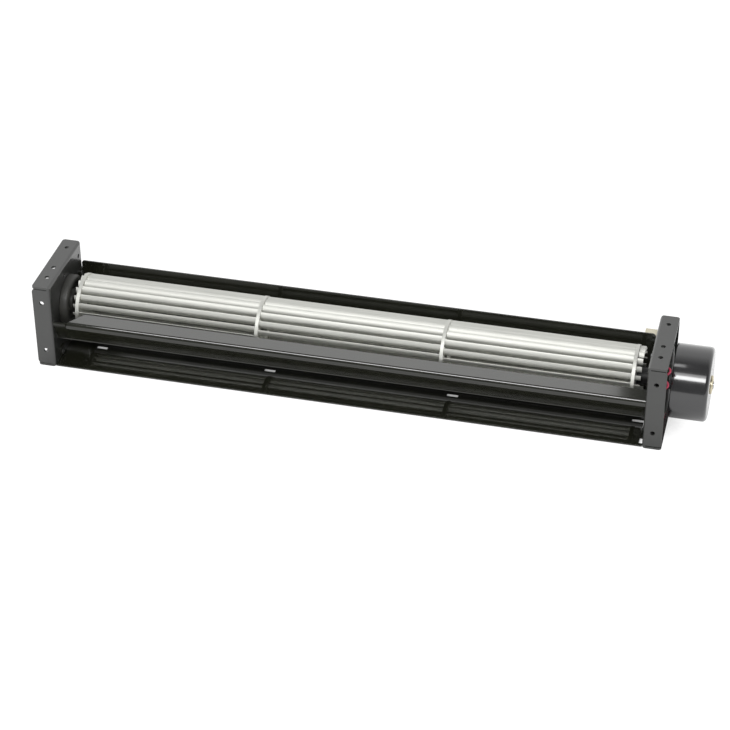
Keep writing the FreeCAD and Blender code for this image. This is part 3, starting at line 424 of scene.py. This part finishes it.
def cross_recess(mesh, face, centre):
    """Flat top of a screw's head with a cross shaped pit in it."""
    arm, reach, depth = 0.3, 1.1, 0.7
    outline = [Vector(corner) for corner in ((arm, arm), (reach, arm), (reach, -arm))]
    cross = [Matrix.Rotation(-quarter * pi / 2, 2) @ corner
             for quarter in range(4) for corner in outline]
    ring = [Vector((cos(angle), sin(angle))) * SCREW_TOP
            for angle in (2 * pi * n / SMALL for n in range(SMALL))]
    rim, mouth = (
        join_up(mesh, [mesh.verts.new((face, centre[0] + p.x, centre[1] + p.y)) for p in loop])
        for loop in (ring, cross))
    bmesh.ops.triangle_fill(mesh, edges=rim + mouth, use_beauty=True)
    pit = bmesh.ops.extrude_edge_only(mesh, edges=mouth)["geom"]
    deep = [item for item in pit if isinstance(item, bmesh.types.BMVert)]
    bmesh.ops.translate(mesh, verts=deep, vec=(depth, 0, 0))
    bottom = [item for item in pit if isinstance(item, bmesh.types.BMEdge)
              and all(vert in deep for vert in item.verts)]
    bmesh.ops.contextual_create(mesh, geom=bottom)


def make_motor_screws():
    """Pan head screws with a cross recess, and their threads inside the motor's base."""
    head, head_height, core, crest, pitch, turns = 2.3, 1.4, 1.02, 1.25, 0.45, 6
    mesh = bmesh.new()
    for low, high in islands("motor_screws"):
        centre = middle_of(low, high)
        seat = low.x + head_height
        thread = []
        for number in range(turns):
            place = seat + 0.5 + pitch * number
            thread += [(place, core, 0), (place + 0.22, crest, 0)]
        turn(mesh, [(low.x, SCREW_TOP, 0), (low.x + 0.1, 1.75, 0.1), (low.x + 0.6, head, 0.3),
                    (seat, head, 0.1), (seat, crest, 0)] + thread
             + [(high.x, 0.8, 0), (high.x, 0, 0)], centre, SMALL, closed=False)
        cross_recess(mesh, low.x, centre)
    finish_piece(mesh, "cross_head_screws", "zinc_steel", "housing", "motor_screws")


# Plug

def make_plug_contacts():
    """Square spring contacts with thin walls, set back in the plug's two openings."""
    low, high = map(to_mm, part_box("lead_plug"))
    plug_depth, opening_drop, spacing = 5.2, 2.6, 2.6
    mouth, height, middle = low.y + plug_depth, high.z - opening_drop, (low.x + high.x) / 2
    width, length, set_back, wall = 1.44, 2.8, 0.6, 0.2
    mesh = bmesh.new()
    for side in (-spacing / 2, spacing / 2):
        older = set(mesh.faces)
        tube = bmesh.ops.create_cube(mesh, size=1)["verts"]
        bmesh.ops.scale(mesh, verts=tube, vec=(width, length, width))
        bmesh.ops.translate(mesh, verts=tube,
                            vec=(middle + side, mouth - set_back - length / 2, height))
        folds = [edge for edge in mesh.edges if edge.verts[0] in tube
                 and abs(edge.verts[0].co.y - edge.verts[1].co.y) > length / 2]
        bmesh.ops.bevel(mesh, geom=folds, offset=wall, offset_type="OFFSET",
                        affect="EDGES", segments=3, profile=0.5, material=-1)
        end = max((face for face in mesh.faces if face not in older),
                  key=lambda face: face.calc_center_median().y)
        bmesh.ops.inset_individual(mesh, faces=[end], thickness=wall, use_even_offset=True)
        inside = bmesh.ops.extrude_face_region(mesh, geom=[end])["geom"]
        deep = [item for item in inside if isinstance(item, bmesh.types.BMVert)]
        bmesh.ops.translate(mesh, verts=deep, vec=(0, wall - length, 0))
        bmesh.ops.delete(mesh, geom=[end], context="FACES_ONLY")
    finish_piece(mesh, "plug_contacts", "zinc_steel", "housing")


make_rubber_mount()
make_motor_cup()
make_brass_hub()
make_grommet()
make_rivets("panel_blind_rivets", "panel_rivets")
make_rivets("stabilizer_blind_rivets", "stabilizer_rivets")
make_motor_screws()
make_plug_contacts()


# Floor, light and camera

def make_floor():
    """Pale floor: white to the camera and in reflections. Its glow fades where ambient occlusion
    finds the sky closed in. To the camera that lets the real shadow show; in reflections it is
    painted shade.
    """
    width, shadow_reach = 8, 0.15
    full_shadow, no_shadow = 0.08, 0.24
    white_in_shadow, white_in_light, white_in_mirror, white_level = 0.1, 0.93, 0.9, 1.15
    bpy.ops.mesh.primitive_plane_add(size=width)
    floor = bpy.context.object
    floor.name = "floor"
    material, tree, _ = new_material("pale_floor")
    set_shader(tree, Base_Color=linear("#ececec"), Roughness=0.9)
    ray = add_node(tree, "ShaderNodeLightPath").outputs
    occlusion_shade_mask = add_node(tree, "ShaderNodeAmbientOcclusion", {"samples": 8},
                   {"Distance": shadow_reach}).outputs["AO"]
    # To the camera the white glow gives way to the lit floor where the sky is closed in, so the real
    # shadow shows there.
    lit = add_node(tree, "ShaderNodeMapRange", inputs={
        "Value": occlusion_shade_mask, "From Min": full_shadow, "From Max": no_shadow,
        "To Min": white_in_shadow, "To Max": white_in_light}).outputs[0]
    to_camera = add_node(tree, "ShaderNodeMath", {"operation": "MULTIPLY"}, {
        0: ray["Is Camera Ray"], 1: lit}).outputs[0]
    to_gloss = add_node(tree, "ShaderNodeMath", {"operation": "MULTIPLY"}, {
        0: ray["Is Glossy Ray"], 1: white_in_mirror}).outputs[0]
    share = add_node(tree, "ShaderNodeMath", {"operation": "ADD"}, {0: to_camera, 1: to_gloss})
    # In reflections the glow is only as bright as the open sky over that spot: painted shade near
    # the object.
    strength = add_node(tree, "ShaderNodeMix", {"data_type": "FLOAT"}, {
        0: ray["Is Glossy Ray"], 2: white_level, 3: occlusion_shade_mask}).outputs[0]
    white = add_node(tree, "ShaderNodeEmission", inputs={"Strength": strength})
    mix = add_node(tree, "ShaderNodeMixShader", inputs={
        0: share.outputs[0], 1: tree.nodes["Principled BSDF"].outputs[0], 2: white.outputs[0]})
    tree.links.new(mix.outputs[0], tree.nodes["Material Output"].inputs["Surface"])
    floor.data.materials.append(material)


def make_world():
    """White studio: full white to the camera, brighter behind than above and in front."""
    behind = (0.0, 1.0, -0.5)
    dark_from, bright_from = -0.5, 0.1
    dark_wall, bright_wall, plain_light, white = 0.22, 0.85, 0.5, 1.0
    world = bpy.data.worlds.new("studio")
    world.use_nodes = True
    tree = world.node_tree
    ray = add_node(tree, "ShaderNodeLightPath").outputs
    way = add_node(tree, "ShaderNodeTexCoord").outputs["Generated"]
    back = add_node(tree, "ShaderNodeVectorMath", {"operation": "DOT_PRODUCT"}, {
        0: way, 1: behind}).outputs["Value"]
    wall = add_node(tree, "ShaderNodeMapRange", inputs={
        "Value": back, "From Min": dark_from, "From Max": bright_from,
        "To Min": dark_wall, "To Max": bright_wall}).outputs[0]
    gloss = add_node(tree, "ShaderNodeMix", {"data_type": "FLOAT"}, {
        0: ray["Is Glossy Ray"], 2: plain_light, 3: wall}).outputs[0]
    seen = add_node(tree, "ShaderNodeMix", {"data_type": "FLOAT"}, {
        0: ray["Is Camera Ray"], 2: gloss, 3: white}).outputs[0]
    tree.links.new(seen, tree.nodes["Background"].inputs["Strength"])
    tree.nodes["Background"].inputs["Color"].default_value = (1, 1, 1, 1)
    bpy.context.scene.world = world


# Place, target, width, depth and level of each light. The first gives the band on the cup and the
# light on the drum, the second a fainter one above it, the third the shine of the stabilizer's top.
SOFT_BOXES = {
    "front_box": ((0.0, -0.935, 0.93), (0.02, 0, 0.03), 1.1, 0.26, 10.0),
    "fill_box": ((0.0, -0.764, 1.082), (0.02, 0, 0.03), 1.1, 0.18, 2.4),
    "overhead_box": ((-0.22, -0.16, 1.03), (-0.22, -0.16, 0.03), 0.56, 0.16, 2.4),
}


def make_soft_box(name, place, target, width, depth, level):
    """A rectangular studio light aimed at a point, of the same level at any size."""
    light = bpy.data.lights.new(name, "AREA")
    light.shape = "RECTANGLE"
    light.size = width
    light.size_y = depth
    light.energy = level * pi * width * depth
    lamp = bpy.data.objects.new(name, light)
    lamp.location = place
    lamp.rotation_euler = (Vector(target) - Vector(place)).to_track_quat("-Z", "Y").to_euler()
    bpy.context.scene.collection.objects.link(lamp)


def make_camera():
    """The photograph's camera, found from the corners of both brackets."""
    place = (0.24513, -0.97528, 0.70027)
    azimuth, elevation, roll = radians(13.73), radians(34.48), radians(-0.19)
    data = bpy.data.cameras.new("camera")
    data.lens = 112.34
    data.sensor_width = 36
    data.clip_start = 0.05
    camera = bpy.data.objects.new("camera", data)
    aim = (Matrix.Rotation(azimuth, 3, "Z") @ Matrix.Rotation(radians(90) - elevation, 3, "X")
           @ Matrix.Rotation(roll, 3, "Z"))
    camera.rotation_euler = aim.to_euler()
    camera.location = place
    bpy.context.scene.collection.objects.link(camera)
    bpy.context.scene.camera = camera


make_floor()
make_world()
for name, setting in SOFT_BOXES.items():
    make_soft_box(name, *setting)
make_camera()
bpy.context.scene.view_settings.view_transform = "Standard"
